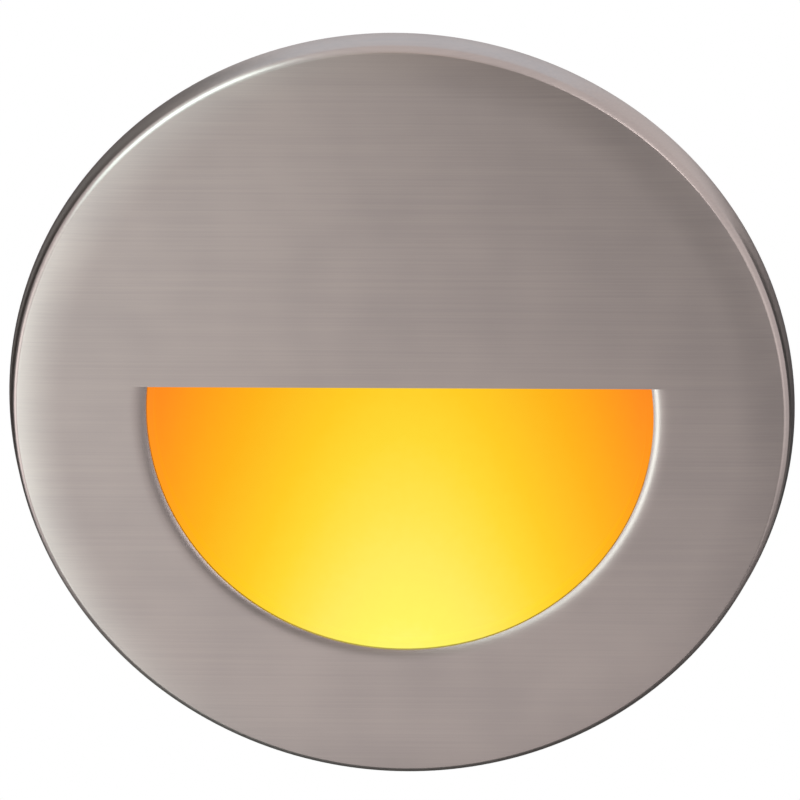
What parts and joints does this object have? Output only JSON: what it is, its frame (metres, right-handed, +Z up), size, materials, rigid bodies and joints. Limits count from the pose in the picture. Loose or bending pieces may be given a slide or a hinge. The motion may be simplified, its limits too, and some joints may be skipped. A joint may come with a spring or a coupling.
{
  "type": "recessed step light",
  "caption": "Round recessed LED step light with a half-round opening under a closed eyelid, a lit scoop behind it, a rear can and a wall bracket.",
  "frame": {"origin": "centre of the mounting bracket's back face, on the axis of the round plate, in the wall plane", "axes": "+Z up, the face looks along -Y and +Y runs into the wall"},
  "size_m": [0.127, 0.056, 0.127],
  "materials": {
    "brushed_nickel": "satin nickel plate, brushed level across the face",
    "gasket_foam": "closed-cell foam",
    "lit_scoop": "satin enamel, lit amber",
    "cast_aluminium": "bare die casting",
    "seal_silicone": "moulded silicone",
    "stainless_steel": "plain stainless steel",
    "black_steel": "black oxide",
    "gland_nylon": "moulded nylon",
    "grommet_rubber": "moulded rubber",
    "zinc_steel": "zinc plated sheet steel",
    "machined_aluminium": "machined and bead blasted",
    "white_board": "white solder mask on an aluminium core",
    "led_ceramic": "ceramic package",
    "lit_dome": "silicone dome, lit amber",
    "lit_lens": "frosted polycarbonate, lit amber",
    "green_board": "green solder mask",
    "ferrite": "sintered ferrite",
    "coil_tape": "polyester tape over the winding",
    "film_yellow": "moulded box",
    "capacitor_sleeve": "shrink sleeve",
    "black_epoxy": "moulded epoxy",
    "fuse_brown": "moulded cap",
    "terminal_green": "moulded polyamide",
    "white_nylon": "moulded nylon",
    "lead_red": "PVC insulation",
    "lead_black": "PVC insulation",
    "green_screw": "green passivated steel"
  },
  "bodies": {
    "bracket": {"mounting_bracket": "zinc_steel"},
    "light": {"bridge_rectifier": "black_epoxy", "bulk_capacitor": "capacitor_sleeve", "carrier_screws": "stainless_steel", "choke": "ferrite", "cover_screws": "stainless_steel", "cover_seal": "seal_silicone", "driver_board": "green_board", "driver_board_screws": "stainless_steel", "driver_chip": "black_epoxy", "engine_carrier": "machined_aluminium", "engine_lens": "lit_lens", "faceplate": "brushed_nickel", "film_capacitor": "film_yellow", "fuse": "fuse_brown", "gland_body": "gland_nylon", "gland_grommet": "grommet_rubber", "gland_lock_nut": "gland_nylon", "gland_nut": "gland_nylon", "ground_screw": "green_screw", "housing_screws": "stainless_steel", "housing_seal": "seal_silicone", "lead_sleeve": "seal_silicone", "led_board": "white_board", "led_board_screws": "stainless_steel", "led_domes": "lit_dome", "led_lead_black": "lead_black", "led_lead_red": "lead_red", "led_packages": "led_ceramic", "lens_gasket": "seal_silicone", "lens_retainer": "stainless_steel", "output_socket": "white_nylon", "rear_cover": "cast_aluminium", "rear_housing": "cast_aluminium", "retainer_screws": "stainless_steel", "scoop_reflector": "lit_scoop", "terminal_block": "terminal_green", "terminal_screws": "stainless_steel", "transformer_coil": "coil_tape", "transformer_core": "ferrite", "wall_gasket": "gasket_foam"},
    "left_screw": {"set_screw_left": "black_steel"},
    "right_screw": {"set_screw_right": "black_steel"}
  },
  "joints": [
    {"name": "pull_off", "type": "slide", "parent": "bracket", "child": "light", "axis": [0, -1, 0], "range_m": [0, 0.055]},
    {"name": "left_set_screw", "type": "slide", "parent": "light", "child": "left_screw", "axis": [-0.5, 0, -0.866], "range_m": [0, 0.003]},
    {"name": "right_set_screw", "type": "slide", "parent": "light", "child": "right_screw", "axis": [0.5, 0, -0.866], "range_m": [0, 0.003]}
  ]
}
